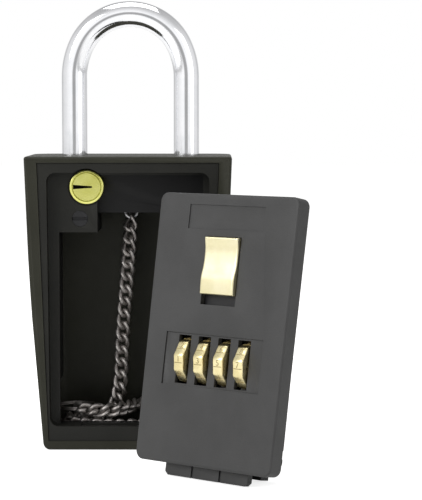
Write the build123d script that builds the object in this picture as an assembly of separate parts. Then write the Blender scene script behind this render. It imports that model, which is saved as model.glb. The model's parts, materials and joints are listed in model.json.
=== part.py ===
from build123d import *
import os
from math import atan2, cos, degrees, radians, sin, sqrt

# Portable key lock box: a tapered die-cast body hung by a removable round shackle, a moulded
# insert with a key-operated shackle lock, a chain with a key ring, and a lift-off door with
# four number dials and a brass release slide. The door stands by itself in front of the box.
#
# Frame: origin at the centre of the box base, X to the right, Y to the back, Z up, millimetres.
# The door is modelled flat in its own frame (X right, Y from its face to its back, Z up from
# its lower edge) and then placed with its yaw and its lean.

# --- body shell ---------------------------------------------------------------------------
body_height = 108.0
body_depth = 42.0
body_top_width = 76.0
body_base_width = 62.6
rear_corner_radius = 8.0
base_edge_radius = 2.6
outer_edge_radius = 0.9
side_wall_top = 4.6
side_wall_base = 1.9
top_wall = 2.3
floor_wall = 3.3
back_wall = 3.0
side_bow = 1.0

# --- door size and the recess that it closes ----------------------------------------------
recess_bottom = 8.7
rim_above_door = 6.5
door_height = body_height - recess_bottom - rim_above_door
door_top_width = 59.0
door_base_width = 57.4
door_thickness = 6.0
door_corner_radius = 3.0
door_clearance = 0.3

# --- inner frame --------------------------------------------------------------------------
frame_gap = 0.15
frame_sink = 0.5
ledge_thickness = 2.5
key_opening_width = 51.2
sill_depth = 12.4
deck_height = 21.0
deck_bottom = body_height - deck_height
deck_setback = 5.0
deck_rear = 10.5
deck_pocket_width = 38.9
deck_pocket_rim = 7.0
deck_pocket_top = body_height - deck_pocket_rim
lock_block_right = -11.5
lock_block_drop = 7.0
lock_block_bottom = deck_bottom - lock_block_drop
lug_left = 15.0
skirt_thickness = 1.5
skirt_depth = 13.0
skirt_bottom = 25.0
peg_radius = 1.5
peg_length = 1.6
peg_spacing = 40.0
peg_clearance = 0.05

# --- shackle ------------------------------------------------------------------------------
shackle_rod = 9.6
shackle_spacing = 42.0
shackle_y = 3.0
shackle_rise = 57.5
shackle_top = body_height + shackle_rise
arch_height = 23.5
arch_side_radius = 28.0
shackle_leg_sink = 18.2
shackle_leg_bottom = body_height - shackle_leg_sink
leg_end_chamfer = 0.9
bore_clearance = 0.15
bore_floor = 0.3

# --- shackle lock -------------------------------------------------------------------------
lock_x = -15.4
lock_below_top = 11.3
lock_z = body_height - lock_below_top
lock_radius = 6.4
lock_proud = 0.6
lock_length = 11.3
lock_ring_width = 0.6
plug_radius = 5.2
plug_clearance = 0.08
keyway_length = 7.0
keyway_wide = 2.3
keyway_narrow = 1.2
keyway_offset = -1.5
keyway_depth = 8.0
cam_radius = 3.4
cam_thickness = 2.0
cam_clearance = 0.3
pin_radius = 0.8
pin_throw = 2.5
pin_angle = 45.0
pin_clearance = 0.15
pin_reach = 3.0
bolt_height = 8.0
bolt_thickness = 6.6
bolt_length = 9.0
bolt_clearance = 0.15
bolt_nose_gap = 0.3
notch_clearance = 0.4
plate_thickness = 1.5
plate_overlap = 1.8
chamber_screw_radius = 0.8

# --- screws through the frame -------------------------------------------------------------
screw_radius = 1.45
screw_head_radius = 2.9
screw_head_height = 1.8
screw_clearance = 0.05
frame_screw_drop = 2.0
frame_screw_z = deck_bottom - frame_screw_drop
left_screw_x = -17.9
right_screw_x = 20.0
boss_radius = 3.2

# --- chain and key ring -------------------------------------------------------------------
chain_x = 0.0
chain_y = 7.0
link_wire = 1.4
link_inside = 4.8
link_width = 5.4
link_play_hanging = 0.15
link_play_heaped = 0.45
heap_top = 15.0
left_loop = (-15.8, 4.9)
left_loop_radius = 9.4
right_loop = (7.0, 4.3)
right_loop_radius = 8.9
link_corner = 0.3
link_chamfer = 0.35
chain_end_links = 10
chain_start_links = 4
staple_spacing = 4.4
staple_drop = 0.5
staple_set = 3.0
ring_radius = 7.6
ring_wire = 1.3
ring_heading = 93.0

# --- door: where it stands and what is cut in its face ------------------------------------
door_x = 26.8
door_y = -79.6
door_yaw = -37.4
door_lean = 9.9
face_wall = 2.2
rim_wall = 2.0
face_edge_radius = 0.8
tab_width = 35.0
tab_length = 4.2
tab_thickness = 2.5
tab_play = 1.6
tab_groove_spacing = 11.8
tab_groove_width = 1.0
tab_groove_depth = 0.7
name_panel_width = 32.0
name_panel_height = 8.4
name_panel_margin = 3.8
name_panel_bottom = door_height - name_panel_margin - name_panel_height
name_panel_depth = 0.4
slide_from_top = 34.4
slide_bottom = door_height - slide_from_top

# --- dials --------------------------------------------------------------------------------
dial_count = 4
dial_pitch = 8.4
dial_width = 4.0
dial_sides = 10
dial_radius = 8.4
dial_bevel = 0.35
dial_edge_angle = -10.0
axle_below_slide = 22.7
axle_v = slide_bottom - axle_below_slide
axle_depth = 5.8
axle_radius = 1.3
axle_clearance = 0.08
hub_radius = 3.3
hub_width = 2.4
gate_width = 1.9
gate_depth = 1.4
window_width = 5.2
window_margin = 0.7
dial_panel_width = 41.0
dial_panel_height = 18.0
dial_panel_depth = 0.6
post_width = 1.8
post_height = 6.0
end_play = 0.4

# --- release slide and latch --------------------------------------------------------------
slide_width = 14.0
slide_height = 19.6
slide_proud = 1.0
slide_travel = 3.2
slide_clearance = 0.3
lip_height = 11.4
lip_proud = 2.3
lip_round = 1.0
latch_thickness = 1.6
latch_width = 18.0
latch_above_slide = 2.0
latch_top = slide_bottom + slide_height + latch_above_slide
latch_running = 0.2
comb_above_axle = 11.9
comb_bottom = axle_v + comb_above_axle
comb_height = 2.6
comb_reach = 7.0
tooth_width = 1.6
tooth_gap = 3.5
rail_width = 1.5
rail_clearance = 0.3
bolt_u = 4.0
latch_bolt_width = 10.0
latch_bolt_front = 13.0
latch_bolt_thickness = 2.5
latch_bolt_rise = 1.0
latch_bolt_top = latch_top + latch_bolt_rise
latch_bolt_foot_gap = 2.9
latch_bolt_foot = comb_bottom + latch_bolt_foot_gap
web_thickness = 2.0
web_height = 12.0
keeper_margin = 0.4
rivet_radius = 1.2
rivet_head_radius = 2.0
rivet_head_height = 0.8
rivet_spacing = 11.0
spring_strip = 0.4
spring_depth = 1.2
spring_half_width = 3.2
spring_folds = 5
spring_length = 6.0
hook_radius = 1.1

# --- cover behind the mechanism -----------------------------------------------------------
cover_width = 43.0
cover_flange_reach = 3.1
cover_bottom = 1.5
cover_from_top = 22.8
cover_top = door_height - cover_from_top
cover_depth = 17.5
cover_wall = 1.5
cover_flange = 1.5
cover_corner_radius = 3.0
foot_width = 32.0
foot_gap = 0.8
tower_width = 15.0
tower_height = 6.2
tower_top = cover_top + tower_height
tower_front = 10.5
cover_screw_radius = 1.2
cover_screw_head = 2.2
cover_screw_head_height = 1.2
cover_boss_radius = 2.6
cover_screw_reach = 1.3
cover_screw_rise = 5.5
cover_screw_low = cover_bottom + cover_screw_rise
cover_screw_drop = 6.0
cover_screw_high = cover_top - cover_screw_drop
detent_strip = 0.5
detent_gap = 0.3
detent_finger_width = 3.0
detent_drop = 16.7
detent_bottom = axle_v - detent_drop
detent_base_height = 4.0
detent_rise = 2.3
detent_top = axle_v + detent_rise

# --- values worked out from the sizes above -------------------------------------------------
front_y = -body_depth / 2
back_y = body_depth / 2
frame_front = front_y + frame_sink
recess_floor = front_y + door_thickness
recess_top = recess_bottom + door_height + 2 * door_clearance
ledge_back = recess_floor + ledge_thickness
sill_back = front_y + sill_depth
deck_front = recess_floor + deck_setback
deck_pocket_right = lock_block_right + deck_pocket_width
leg_radius = shackle_rod / 2
leg_x = shackle_spacing / 2
bore_radius = leg_radius + bore_clearance
bore_bottom = shackle_leg_bottom - bore_floor
lock_face = recess_floor - lock_proud
lock_rear = lock_face + lock_length
pin_travel = 2 * pin_throw * sin(radians(pin_angle))
bolt_front = shackle_y - bolt_thickness / 2 - 1.3
bolt_nose = -leg_x + leg_radius + bolt_nose_gap
bolt_bottom = lock_z - bolt_height / 2 + 0.7
door_base_z = tab_length * cos(radians(door_lean)) + door_thickness * sin(radians(door_lean))
cover_flange_width = cover_width + 2 * cover_flange_reach
cover_screw_u = cover_width / 2 + cover_screw_reach


def taper(z, base, top):
    """A half width at height z, straight from its value at the base to that at the top."""
    return base / 2 + (top - base) / 2 * z / body_height


def block(x, y, z):
    """A box between the two values given for each axis."""
    size = [b - a for a, b in (x, y, z)]
    middle = [(a + b) / 2 for a, b in (x, y, z)]
    return Pos(*middle) * Box(*size)


def rod_x(radius, y, z, x_from, x_to):
    """A cylinder along X."""
    return Pos((x_from + x_to) / 2, y, z) * Rot(Y=90) * Cylinder(radius, x_to - x_from)


def rod_y(radius, x, z, y_from, y_to):
    """A cylinder along Y."""
    return Pos(x, (y_from + y_to) / 2, z) * Rot(X=90) * Cylinder(radius, y_to - y_from)


def rod_z(radius, x, y, z_from, z_to):
    """A cylinder along Z."""
    return Pos(x, y, (z_from + z_to) / 2) * Cylinder(radius, z_to - z_from)


def front_prism(outline, y_from, y_to):
    """An outline drawn in X and Z, carried from one Y to another."""
    return extrude(Plane.XZ.offset(-y_from) * outline, -(y_to - y_from))


def tub(gap, y_from, y_to, z_from, z_to, base, top, corner, bow=0.0):
    """A block with sloping or bowed sides and round rear corners, set in at sides and rear."""
    low, high = taper(z_from, base, top) - gap, taper(z_to, base, top) - gap
    outline = Polygon((-low, z_from), (low, z_from), (high, z_to), (-high, z_to), align=None)
    if bow:
        middle = ((low + high) / 2 + bow, (z_from + z_to) / 2)
        edge = Line((-low, z_from), (low, z_from))
        edge += ThreePointArc((low, z_from), middle, (high, z_to))
        edge += Line((high, z_to), (-high, z_to))
        edge += ThreePointArc((-high, z_to), (-middle[0], middle[1]), (-low, z_from))
        outline = make_face(edge)
    shape = front_prism(outline, y_from, y_to - gap)
    rear = shape.faces().sort_by(Axis.Y)[-1].edges()
    return fillet([e for e in rear if abs(e.center().X) > low / 2], corner)


def shell_inside(gap=0.0, y_from=front_y, z_from=floor_wall):
    """The hollow of the shell, or what fits in it with a gap."""
    base = body_base_width - 2 * side_wall_base
    top = body_top_width - 2 * side_wall_top
    corner = rear_corner_radius - back_wall
    return tub(gap, y_from, back_y - back_wall, z_from, body_height - top_wall - gap,
               base, top, corner)


def door_outline(margin, low, high, corner):
    """The tapered door outline in X and Z, wider by a margin all round, with round corners."""
    slope = (door_top_width - door_base_width) / 2 / door_height
    low_half = door_base_width / 2 + margin + slope * low
    high_half = door_base_width / 2 + margin + slope * high
    shape = Polygon((-low_half, low), (low_half, low), (high_half, high), (-high_half, high),
                    align=None)
    return fillet(shape.vertices(), corner)


# --- box ------------------------------------------------------------------------------------
def make_box_shell():
    """Tapered tub, open at the front, with bores for the shackle and bosses for the frame."""
    shell = tub(0, front_y, back_y, 0, body_height, body_base_width, body_top_width,
                rear_corner_radius, side_bow)
    base_edges = [e for e in shell.edges().group_by(Axis.Z)[0] if e.center().Y > front_y + 1]
    shell = fillet(base_edges, base_edge_radius)
    top_edges = [e for e in shell.edges().group_by(Axis.Z)[-1] if e.center().Y > front_y + 1]
    shell = fillet(top_edges, outer_edge_radius)
    shell = fillet(shell.faces().sort_by(Axis.Y)[0].edges(), outer_edge_radius)
    shell -= shell_inside(y_from=front_y - 1)
    for side in (-1, 1):
        shell -= rod_z(bore_radius, side * leg_x, shackle_y, deck_bottom, body_height + 1)
        shell -= rod_z(peg_radius + peg_clearance, side * peg_spacing / 2, sill_middle(),
                       floor_wall - peg_length - peg_clearance, floor_wall + 1)
    for x in (left_screw_x, right_screw_x):
        shell += rod_y(boss_radius, x, frame_screw_z, deck_rear, back_y - back_wall / 2)
        shell -= rod_y(screw_radius + screw_clearance, x, frame_screw_z, deck_rear - 1,
                       back_y - back_wall)
    return shell


def sill_middle():
    """Middle of the frame's lower bar behind the tab slot, where the locating pegs stand."""
    return (tab_slot()[1] + sill_back) / 2


def tab_slot():
    """Front and rear of the slot in the lower bar that takes the door's tab."""
    tab_front = front_y + door_thickness - tab_thickness
    return tab_front - door_clearance, front_y + door_thickness + tab_play - door_clearance


def make_inner_frame():
    """Moulded insert: recess for the door, ledge, sill, deck, shackle bores and lock seat."""
    envelope = shell_inside(frame_gap, y_from=frame_front)
    top = body_height
    recess = Pos(0, recess_bottom + door_clearance) * door_outline(
        door_clearance, -door_clearance, door_height + door_clearance,
        door_corner_radius + door_clearance)
    opening = key_opening_width / 2
    wide = body_top_width
    frame = envelope & block((-wide, wide), (frame_front, ledge_back), (0, top))
    frame -= front_prism(recess, frame_front - 1, recess_floor)
    frame -= block((-opening, opening), (recess_floor - 1, ledge_back + 1),
                   (recess_bottom, deck_bottom))
    frame += envelope & block((-wide, wide), (ledge_back, sill_back), (0, recess_bottom))
    frame += envelope & block((-wide, wide), (ledge_back, deck_rear), (deck_bottom, top))
    frame += envelope & block((-wide, lock_block_right), (recess_floor, deck_rear),
                              (lock_block_bottom, deck_bottom))
    frame += envelope & block((lug_left, wide), (deck_front, deck_rear),
                              (lock_block_bottom, deck_bottom))
    frame -= block((lock_block_right, deck_pocket_right), (recess_floor - 1, deck_front),
                   (deck_bottom - 1, deck_pocket_top))
    for side in (-1, 1):
        inner = side * opening
        outer = side * (opening + skirt_thickness)
        frame += block((min(inner, outer), max(inner, outer)),
                       (ledge_back, ledge_back + skirt_depth), (skirt_bottom, deck_bottom))
        frame -= rod_z(bore_radius, side * leg_x, shackle_y, bore_bottom, top)
        frame += rod_z(peg_radius, side * peg_spacing / 2, sill_middle(),
                       floor_wall - peg_length, recess_bottom - 1)
    frame -= make_lock_space()
    frame -= block((bolt_u - latch_bolt_width / 2 - keeper_margin,
                    bolt_u + latch_bolt_width / 2 + keeper_margin),
                   (front_y + latch_bolt_front - keeper_margin,
                    front_y + latch_bolt_front + latch_bolt_thickness + keeper_margin),
                   (deck_bottom - 1,
                    recess_bottom + door_clearance + latch_bolt_top + keeper_margin))
    slot_front, slot_rear = tab_slot()
    slot_half = tab_width / 2 + door_clearance
    frame -= block((-slot_half, slot_half), (slot_front, slot_rear),
                   (floor_wall - 1, recess_bottom + 1))
    for x, face in ((left_screw_x, recess_floor), (right_screw_x, deck_front)):
        frame -= rod_y(screw_radius + screw_clearance, x, frame_screw_z, face - 1, deck_rear + 1)
        frame -= rod_y(screw_head_radius + screw_clearance, x, frame_screw_z, face - 1,
                       face + screw_head_height)
    for x in staple_legs():
        frame -= rod_z(link_wire / 2 + screw_clearance, x, chain_y, deck_bottom - 1,
                       deck_bottom + staple_set)
    return frame


def make_lock_space():
    """Seat of the lock, round pocket of its cam, and the bolt's chamber open to the rear."""
    space = rod_y(lock_radius + screw_clearance, lock_x, lock_z, recess_floor - 1, lock_rear)
    space += rod_y(lock_radius + lock_ring_width, lock_x, lock_z, frame_front - 1,
                   recess_floor + lock_ring_width)
    space += rod_y(cam_radius + cam_clearance, lock_x, lock_z, lock_rear - 1,
                   bolt_front - bolt_clearance)
    space += chamber_block(bolt_clearance, deck_rear + 1)
    for z in chamber_screw_levels():
        space += rod_y(chamber_screw_radius + screw_clearance, chamber_middle(), z,
                       deck_rear - 4, deck_rear + 1)
    return space


def chamber_right():
    """Right end of the bolt's chamber."""
    return bolt_nose + bolt_length + bolt_clearance


def chamber_middle():
    """Middle of the chamber's rear opening, in X."""
    return (bolt_nose + chamber_right()) / 2


def chamber_screw_levels():
    """Heights of the two screws that hold the chamber's rear plate."""
    reach = bolt_height / 2 + bolt_clearance + plate_overlap / 2 + chamber_screw_radius / 2
    middle = bolt_bottom + bolt_height / 2
    return middle - reach, middle + reach


def chamber_block(gap, y_to):
    """The bolt's chamber, or what fits in it with a negative gap."""
    left = bolt_nose - pin_travel - bolt_clearance
    return block((left, bolt_nose + bolt_length + gap), (bolt_front - gap, y_to),
                 (bolt_bottom - gap, bolt_bottom + bolt_height + gap))


def make_frame_screws():
    """Two pan-head screws that hold the frame to the shell's bosses."""
    screws = []
    for x, face in ((left_screw_x, recess_floor), (right_screw_x, deck_front)):
        tip = back_y - back_wall - 0.5
        screw = rod_y(screw_head_radius, x, frame_screw_z, face, face + screw_head_height)
        screw += rod_y(screw_radius, x, frame_screw_z, face + screw_head_height, tip)
        slot = block((x - screw_head_radius, x + screw_head_radius), (face - 1, face + 0.8),
                     (frame_screw_z - 0.5, frame_screw_z + 0.5))
        screws.append(screw - slot)
    return Compound(children=[s.solid() for s in screws])


# --- shackle lock -----------------------------------------------------------------------------
def make_lock_cylinder():
    """Brass sleeve of the shackle lock with a running bore for its plug."""
    sleeve = rod_y(lock_radius, lock_x, lock_z, lock_face, lock_rear)
    sleeve -= rod_y(plug_radius + plug_clearance, lock_x, lock_z, lock_face - 1, lock_rear + 1)
    rim = sleeve.edges().filter_by(GeomType.CIRCLE).group_by(Axis.Y)[0]
    return chamfer([e for e in rim if e.radius > plug_radius + 0.5], 0.5)


def make_lock_plug():
    """Plug with an off-centre keyway that lies level at rest and narrows to the right."""
    plug = rod_y(plug_radius, lock_x, lock_z, lock_face, lock_rear)
    left = lock_x + keyway_offset - keyway_length / 2
    right = left + keyway_length
    keyway = Polygon((left, lock_z - keyway_wide / 2), (right, lock_z - keyway_narrow / 2),
                     (right, lock_z + keyway_narrow / 2), (left, lock_z + keyway_wide / 2),
                     align=None)
    return plug - front_prism(keyway, lock_face - 1, lock_face + keyway_depth)


def pin_place():
    """The cam pin's centre at rest, up and to the right of the plug's axis."""
    return (lock_x + pin_throw * sin(radians(pin_angle)),
            lock_z + pin_throw * cos(radians(pin_angle)))


def make_plug_cam():
    """Disc on the plug's rear end with an eccentric pin that carries the bolt."""
    x, z = pin_place()
    cam = rod_y(cam_radius, lock_x, lock_z, lock_rear, lock_rear + cam_thickness)
    return cam + rod_y(pin_radius, x, z, lock_rear, bolt_front + pin_reach)


def make_shackle_bolt():
    """Sliding bolt with an upright slot for the cam pin and a bevelled nose."""
    bolt = block((bolt_nose, bolt_nose + bolt_length),
                 (bolt_front, bolt_front + bolt_thickness),
                 (bolt_bottom, bolt_bottom + bolt_height))
    x, z = pin_place()
    half = pin_radius + pin_clearance
    bolt -= block((x - half, x + half), (bolt_front - 1, bolt_front + pin_reach + 0.4),
                  (z - half, lock_z + pin_throw + half))
    return bolt


def make_chamber_plate():
    """Plate that closes the bolt's chamber from behind, with a pad that guides the bolt."""
    low, high = bolt_bottom - plate_overlap, bolt_bottom + bolt_height + plate_overlap
    low -= chamber_screw_radius
    high += chamber_screw_radius
    plate = block((bolt_nose + plate_overlap, chamber_right() + plate_overlap),
                  (deck_rear, deck_rear + plate_thickness), (low, high))
    plate += block((bolt_nose + plate_overlap, chamber_right() - 2 * bolt_clearance),
                   (bolt_front + bolt_thickness + bolt_clearance, deck_rear),
                   (bolt_bottom, bolt_bottom + bolt_height))
    for z in chamber_screw_levels():
        plate -= rod_y(chamber_screw_radius + screw_clearance, chamber_middle(), z,
                       deck_rear - 1, deck_rear + plate_thickness + 1)
    return plate


def make_chamber_screws():
    """Two small screws behind the chamber plate."""
    screws = []
    for z in chamber_screw_levels():
        plate_rear = deck_rear + plate_thickness
        shank = rod_y(chamber_screw_radius, chamber_middle(), z, deck_rear - 3.5, plate_rear)
        head = rod_y(2 * chamber_screw_radius, chamber_middle(), z, plate_rear, plate_rear + 1)
        screws.append((shank + head).solid())
    return Compound(children=screws)


# --- shackle ------------------------------------------------------------------------------------
def make_shackle():
    """Round rod bent to a slightly tall arch, with a notch in its left leg for the bolt."""
    top = shackle_top - leg_radius
    spring_line = top - arch_height
    inset = arch_side_radius - leg_x
    crown_radius = (arch_side_radius ** 2 - inset ** 2 - arch_height ** 2) / (
        2 * (arch_side_radius - arch_height))
    crown_centre = arch_height - crown_radius
    turn = degrees(atan2(crown_centre, inset))
    with BuildLine(Plane.XZ.offset(-shackle_y)) as path:
        Line((leg_x, shackle_leg_bottom), (leg_x, spring_line))
        CenterArc((-inset, spring_line), arch_side_radius, 0, turn)
        CenterArc((0, spring_line + crown_centre), crown_radius, turn, 180 - 2 * turn)
        CenterArc((inset, spring_line), arch_side_radius, 180 - turn, turn)
        Line((-leg_x, spring_line), (-leg_x, shackle_leg_bottom))
    section = Plane((leg_x, shackle_y, shackle_leg_bottom), z_dir=(0, 0, 1)) * Circle(leg_radius)
    shackle = sweep(section, path=path.wire())
    ends = shackle.edges().filter_by(GeomType.CIRCLE).group_by(Axis.Z)[0]
    shackle = chamfer(ends, leg_end_chamfer)
    notch_left = bolt_nose - pin_travel - notch_clearance
    shackle -= block((notch_left, 0), (shackle_y - shackle_rod, shackle_y + shackle_rod),
                     (bolt_bottom - notch_clearance,
                      bolt_bottom + bolt_height + notch_clearance))
    return shackle


# --- chain and ring -------------------------------------------------------------------------------
def staple_legs():
    """The two X places where the staple's legs enter the deck."""
    return chain_x - staple_spacing / 2, chain_x + staple_spacing / 2


def chain_start():
    """Where the first link bears on the staple."""
    arc_centre = deck_bottom - staple_drop
    return Vector(chain_x, chain_y, arc_centre - staple_spacing / 2 + link_wire / 2)


def make_chain_anchor():
    """Wire staple under the deck that carries the chain."""
    left, right = staple_legs()
    arc_z = deck_bottom - staple_drop
    top = deck_bottom + staple_set - screw_clearance
    with BuildLine(Plane.XZ.offset(-chain_y)) as path:
        Line((left, top), (left, arc_z))
        CenterArc((chain_x, arc_z), staple_spacing / 2, 180, 180)
        Line((right, arc_z), (right, top))
    section = Plane((left, chain_y, top), z_dir=(0, 0, -1)) * RegularPolygon(link_wire / 2, 8)
    return sweep(section, path=path.wire())


def make_link():
    """One flat link lying along X in its own frame, with cut corners and bevelled outside."""
    half_length = link_inside / 2 + link_wire
    half_width = link_width / 2

    def outline(inset):
        length, width = half_length - inset, half_width - inset
        cut = link_corner + (link_wire - inset) * (2 - sqrt(2))
        points = [(length, width - cut), (length - cut, width), (cut - length, width),
                  (-length, width - cut), (-length, cut - width), (cut - length, -width),
                  (length - cut, -width), (length, cut - width)]
        return Polygon(*points, align=None)

    link = extrude(outline(0) - outline(link_wire), link_wire / 2, both=True)
    rims = [f.outer_wire().edges() for f in link.faces().filter_by(Axis.Z)]
    return chamfer([e for rim in rims for e in rim], link_chamfer).solid()


def loop_points(centre, radius, angles, heights):
    """Points round a loop on the floor, with a height for each."""
    return [(centre[0] + radius * cos(radians(a)), centre[1] + radius * sin(radians(a)), z)
            for a, z in zip(angles, heights)]


def chain_route():
    """The chain's centre line: hanging, then two loops on the floor, then over the first."""
    row = floor_wall + link_width / 2 + 0.6
    over = row + link_width
    rise = link_width / 5
    points = [chain_start(), (chain_x - 1.9, chain_y, 59.0), (chain_x - 3.7, chain_y, 34.0),
              (chain_x - 5.2, chain_y + 0.4, 16.0), (chain_x - 7.6, chain_y + 3.4, row + 3.4)]
    points += loop_points(left_loop, left_loop_radius, (65, 105, 145, 185, 225, 265), [row] * 6)
    points += loop_points(right_loop, right_loop_radius, (-95, -55, -15, 25, 65, 105),
                          (row, row + rise, row + 2 * rise, row + 3 * rise, row + 4 * rise, over))
    points += [(1.0, 8.6, over), (-1.6, 2.2, over), (-6.0, -3.0, over), (-11.0, -5.4, over),
               (-15.2, -5.3, over), (-18.3, -3.9, over), (-20.2, -1.2, over), (-20.8, 2.4, over)]
    return Spline(*points)


def chain_joints():
    """Points along the route where one link hangs in the next, closer together in the heap."""
    route = chain_route()
    steps = 3000
    joints = [chain_start()]
    for i in range(steps + 1):
        point = route.position_at(i / steps)
        play = link_play_hanging if point.Z > heap_top else link_play_heaped
        if (point - joints[-1]).length >= link_inside - play:
            joints.append(point)
    return joints


def link_sides(joints):
    """A direction square to each link, carried along the chain without turning about it."""
    sides = [Vector(0, 1, 0)]
    for start, end in zip(joints, joints[1:]):
        along = (end - start).normalized()
        sides.append((sides[-1] - along * sides[-1].dot(along)).normalized())
    return sides[1:]


def link_turn(i, count, settle):
    """Turn about the chain: square to its neighbours, with a slow twist at both ends."""
    start = min(1, i / chain_start_links)
    end = max(0, 1 - (count - 1 - i) / chain_end_links)
    return 90 * ((i + 1) % 2) + 45 * start + settle * end


def make_key_chain():
    """Links turned by about a quarter turn from one to the next, each its own solid."""
    link = make_link()
    joints = chain_joints()
    count = len(joints) - 1
    sides = link_sides(joints)
    last = (joints[-1] - joints[-2]).normalized()
    level = Vector(0, 0, 1).cross(last)
    miss = sides[-1].get_signed_angle(level, last)
    settle = (miss + 45 - 90 * (count % 2)) % 180 - 90
    links = []
    for i, (start, end) in enumerate(zip(joints, joints[1:])):
        along = (end - start).normalized()
        turn = link_turn(i, count, settle)
        normal = sides[i].rotate(Axis((0, 0, 0), along), turn)
        place = Plane((start + end) * 0.5, x_dir=along, z_dir=normal)
        links.append(place.location * link)
    return Compound(children=links)


def make_key_ring():
    """Flat split ring that the last link holds, lying on the chain."""
    joints = chain_joints()
    along = Vector(cos(radians(ring_heading)), sin(radians(ring_heading)), 0)
    centre = joints[-1] + along * (ring_radius - ring_wire / 2 - link_play_heaped / 2)
    section = Plane.XZ * Pos(ring_radius, 0) * Rectangle(ring_wire, ring_wire)
    ring = revolve(section, Axis.Z)
    return Pos(*centre) * ring


# --- door -------------------------------------------------------------------------------------------
def place_door(shape):
    """Carry a piece from the door's own frame to where the door stands."""
    return Pos(door_x, door_y, door_base_z) * Rot(Z=door_yaw) * Rot(X=-door_lean) * shape


def dial_centres():
    """The dials' places along the axle."""
    return [(i - (dial_count - 1) / 2) * dial_pitch for i in range(dial_count)]


def axle_posts():
    """The inner faces of the two posts that carry the axle."""
    centres = dial_centres()
    left = centres[0] - dial_width / 2 - end_play
    right = centres[-1] + dial_width / 2 + hub_width + end_play
    return left, right


def cover_screw_places():
    """Places of the four screws that hold the cover."""
    return [(side * cover_screw_u, v) for side in (-1, 1)
            for v in (cover_screw_low, cover_screw_high)]


def make_door_plate():
    """Hollow door with dial windows, release slot, bare panel, tab and inner posts."""
    outline = door_outline(0, 0, door_height, door_corner_radius)
    plate = front_prism(outline, 0, door_thickness)
    plate = fillet(plate.faces().sort_by(Axis.Y)[0].edges(), face_edge_radius)
    hollow = door_outline(-rim_wall, rim_wall, door_height - rim_wall,
                          door_corner_radius - rim_wall / 2)
    plate -= front_prism(hollow, face_wall, door_thickness + 1)
    half = dial_panel_width / 2
    plate -= block((-half, half), (-1, dial_panel_depth),
                   (axle_v - dial_panel_height / 2, axle_v + dial_panel_height / 2))
    half = name_panel_width / 2
    plate -= block((-half, half), (-1, name_panel_depth),
                   (name_panel_bottom, name_panel_bottom + name_panel_height))
    reach = sqrt(dial_radius ** 2 - (axle_depth - face_wall) ** 2) + window_margin
    for u in dial_centres():
        plate -= block((u - window_width / 2, u + window_width / 2), (-1, face_wall + 1),
                       (axle_v - reach, axle_v + reach))
    half = slide_width / 2 + slide_clearance
    plate -= block((-half, half), (-1, face_wall + 1),
                   (slide_bottom - slide_travel - slide_clearance,
                    slide_bottom + slide_height + slide_clearance))
    plate += make_door_inside()
    plate += make_tab()
    return plate


def make_door_inside():
    """Posts, bosses, rails and the spring's hook peg behind the door's face."""
    inside = []
    left, right = axle_posts()
    hole = rod_x(axle_radius + screw_clearance, axle_depth, axle_v, left - 9, right + 9)
    for low in (left - post_width, right):
        post = block((low, low + post_width), (face_wall - 0.5, axle_depth + post_height / 2),
                     (axle_v - post_height / 2, axle_v + post_height / 2))
        inside.append(post - hole)
    for u, v in cover_screw_places():
        boss = rod_y(cover_boss_radius, u, v, face_wall - 0.5, door_thickness)
        inside.append(boss - rod_y(cover_screw_radius, u, v, face_wall, door_thickness + 1))
    rail_depth = face_wall + latch_running + latch_thickness + latch_running
    for side in (-1, 1):
        near = side * (latch_width / 2 + rail_clearance)
        far = near + side * rail_width
        inside.append(block((min(near, far), max(near, far)), (face_wall - 0.5, rail_depth),
                            (comb_bottom + comb_height + slide_travel, latch_top)))
    inside.append(rod_y(hook_radius, 0, latch_top + spring_length + spring_strip + hook_radius,
                        face_wall - 0.5, rail_depth))
    return inside


def make_tab():
    """Tab below the door's lower edge that drops into the frame's slot, with two grooves."""
    half = tab_width / 2
    front = door_thickness - tab_thickness
    tab = block((-half, half), (front, door_thickness), (-tab_length, rim_wall))
    tab = chamfer([e for e in tab.edges().filter_by(Axis.Y).group_by(Axis.Z)[0]], 1.2)
    for side in (-1, 1):
        u = side * tab_groove_spacing / 2
        tab -= block((u - tab_groove_width / 2, u + tab_groove_width / 2),
                     (front - 1, front + tab_groove_depth), (-tab_length - 1, 0))
    return tab


def make_mechanism_cover():
    """Deep cover behind the dials with a flange, a tower for the latch bolt and a foot."""
    half = cover_width / 2
    middle = (cover_bottom + cover_top) / 2
    tall = cover_top - cover_bottom

    def plan(width, height, corner):
        return Pos(0, middle) * RectangleRounded(width, height, corner)

    cover = front_prism(plan(cover_width, tall, cover_corner_radius), door_thickness, cover_depth)
    cover = fillet(cover.faces().sort_by(Axis.Y)[-1].edges(), cover_wall * 0.6)
    cover += front_prism(plan(cover_flange_width, tall, cover_corner_radius), door_thickness,
                         door_thickness + cover_flange)
    tower_left = bolt_u - tower_width / 2
    cover += block((tower_left, tower_left + tower_width), (tower_front, cover_depth),
                   (cover_top - cover_wall, tower_top))
    cover += block((-foot_width / 2, foot_width / 2), (sill_depth + foot_gap, cover_depth),
                   (foot_level(), cover_bottom + cover_wall))
    cover -= front_prism(plan(cover_width - 2 * cover_wall, tall - 2 * cover_wall,
                              cover_corner_radius - cover_wall),
                         door_thickness - 1, cover_depth - cover_wall)
    cover -= block((bolt_u - latch_bolt_width / 2 - slide_clearance,
                    bolt_u + latch_bolt_width / 2 + slide_clearance),
                   (latch_bolt_front - slide_clearance,
                    latch_bolt_front + latch_bolt_thickness + slide_clearance),
                   (cover_top - 2 * cover_wall, tower_top + 1))
    for u, v in cover_screw_places():
        cover -= rod_y(cover_screw_radius + screw_clearance, u, v, door_thickness - 1,
                       door_thickness + cover_flange + 1)
        cover -= rod_y(cover_screw_head + 2 * screw_clearance, u, v,
                       door_thickness + cover_flange, cover_depth + 1)
    return cover


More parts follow.
